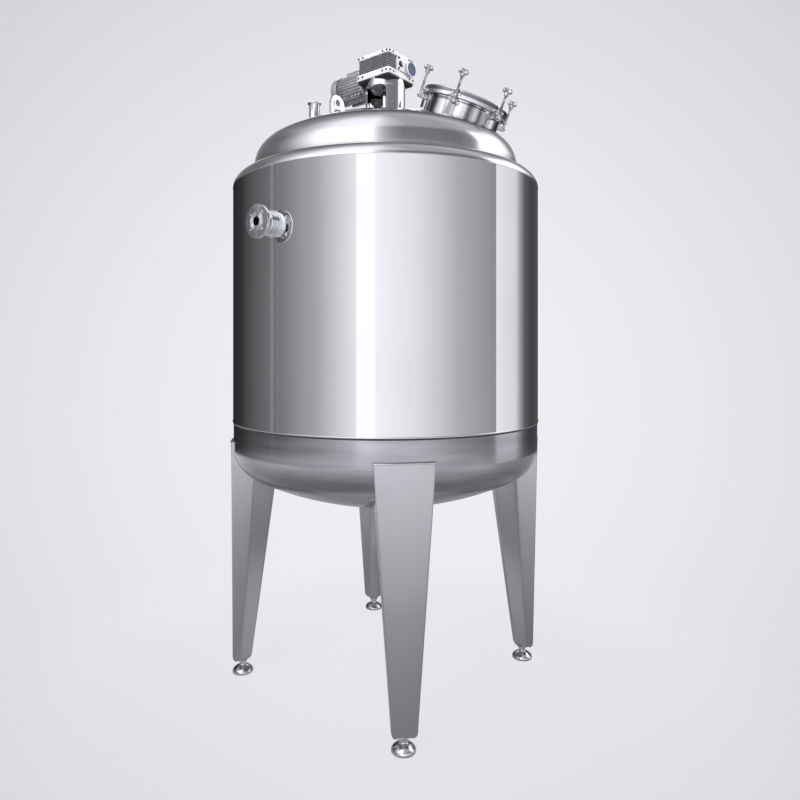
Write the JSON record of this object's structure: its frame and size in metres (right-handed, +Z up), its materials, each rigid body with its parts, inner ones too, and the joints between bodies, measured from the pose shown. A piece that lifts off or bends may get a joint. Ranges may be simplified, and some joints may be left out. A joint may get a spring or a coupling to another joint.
{
  "type": "jacketed agitated dispensing tank",
  "caption": "Insulated stainless mixing and dispensing tank on tapered legs, with a tilted manway and swing bolts, lifting lugs, vent, flanged jacket nozzle and a geared agitator drive on top.",
  "frame": {"origin": "on the tank's axis at floor level", "axes": "+Z is up; the four legs stand on the X and Y axes; the drive motor points to azimuth 135 degrees and the manway lies at azimuth -35 degrees"},
  "size_m": [1.516, 1.516, 3.0526],
  "materials": {
    "polished_shell": "mirror-polished stainless sheet",
    "satin_plate": "satin stainless plate",
    "machined_steel": "machined and polished stainless",
    "cast_aluminium": "bead-blasted casting",
    "blue_cap": "satin blue plastic",
    "silicone": "white silicone",
    "mineral_wool": "mineral wool"
  },
  "bodies": {
    "tank": {"bottom_head": "satin_plate", "bottom_outlet": "machined_steel", "cladding_shell": "polished_shell", "drive_lantern": "satin_plate", "drive_pad": "satin_plate", "foot_1": "machined_steel", "foot_2": "machined_steel", "foot_3": "machined_steel", "foot_4": "machined_steel", "gearbox_base_plate": "cast_aluminium", "gearbox_housing": "cast_aluminium", "gearbox_side_cap": "blue_cap", "gearbox_top_plate": "cast_aluminium", "hinge_pin": "machined_steel", "insulation_wool": "mineral_wool", "leg_1": "satin_plate", "leg_2": "satin_plate", "leg_3": "satin_plate", "leg_4": "satin_plate", "lifting_lug_1": "satin_plate", "lifting_lug_2": "satin_plate", "manway_collar": "satin_plate", "manway_gasket": "silicone", "motor_body": "cast_aluminium", "motor_fan_cover": "cast_aluminium", "motor_flange": "cast_aluminium", "motor_terminal_box": "cast_aluminium", "nozzle_flange": "machined_steel", "nozzle_pipe": "machined_steel", "nozzle_sleeve": "satin_plate", "shaft_seal": "machined_steel", "shoulder_ring": "satin_plate", "top_head": "satin_plate", "vent_ferrule": "machined_steel", "vessel_bottom": "satin_plate", "vessel_wall": "satin_plate"},
    "manway_lid": {"manway_lid": "satin_plate", "hinge_arm": "satin_plate"},
    "agitator": {"agitator_shaft": "machined_steel", "agitator_impeller": "satin_plate"},
    "swing_bolt_1": {"swing_bolt_1": "machined_steel"},
    "swing_bolt_2": {"swing_bolt_2": "machined_steel"},
    "swing_bolt_3": {"swing_bolt_3": "machined_steel"},
    "swing_bolt_4": {"swing_bolt_4": "machined_steel"},
    "swing_bolt_5": {"swing_bolt_5": "machined_steel"}
  },
  "joints": [
    {"name": "manway_lid_hinge", "type": "hinge", "parent": "tank", "child": "manway_lid", "pos_m": [0.2169, -0.07111, 2.83896], "axis": [-0.7603, -0.6411, 0.1046], "range_deg": [0, 70]},
    {"name": "agitator_spin", "type": "hinge", "parent": "tank", "child": "agitator", "pos_m": [0, 0, 2.9], "axis": [0, 0, 1], "continuous": true},
    {"name": "swing_bolt_1_pivot", "type": "hinge", "parent": "tank", "child": "swing_bolt_1", "pos_m": [0.46738, -0.40196, 2.63159], "axis": [0.7603, 0.6411, -0.1046], "range_deg": [0, 112]},
    {"name": "swing_bolt_2_pivot", "type": "hinge", "parent": "tank", "child": "swing_bolt_2", "pos_m": [0.55023, -0.19701, 2.65197], "axis": [-0.1139, 0.9579, 0.2636], "range_deg": [0, 112]},
    {"name": "swing_bolt_3_pivot", "type": "hinge", "parent": "tank", "child": "swing_bolt_3", "pos_m": [0.42359, -0.03364, 2.73294], "axis": [-0.8741, 0.3167, 0.3682], "range_deg": [0, 112]},
    {"name": "swing_bolt_4_pivot", "type": "hinge", "parent": "tank", "child": "swing_bolt_4", "pos_m": [0.13126, -0.28017, 2.77316], "axis": [0.1139, -0.9579, -0.2636], "range_deg": [0, 112]},
    {"name": "swing_bolt_5_pivot", "type": "hinge", "parent": "tank", "child": "swing_bolt_5", "pos_m": [0.2579, -0.44354, 2.69218], "axis": [0.8741, -0.3167, -0.3682], "range_deg": [0, 112]}
  ],
  "couplings": [
    {"joint": "swing_bolt_1_pivot", "follows": "manway_lid_hinge", "ratio": 1.6},
    {"joint": "swing_bolt_2_pivot", "follows": "manway_lid_hinge", "ratio": 1.6},
    {"joint": "swing_bolt_3_pivot", "follows": "manway_lid_hinge", "ratio": 1.6},
    {"joint": "swing_bolt_4_pivot", "follows": "manway_lid_hinge", "ratio": 1.6},
    {"joint": "swing_bolt_5_pivot", "follows": "manway_lid_hinge", "ratio": 1.6}
  ]
}
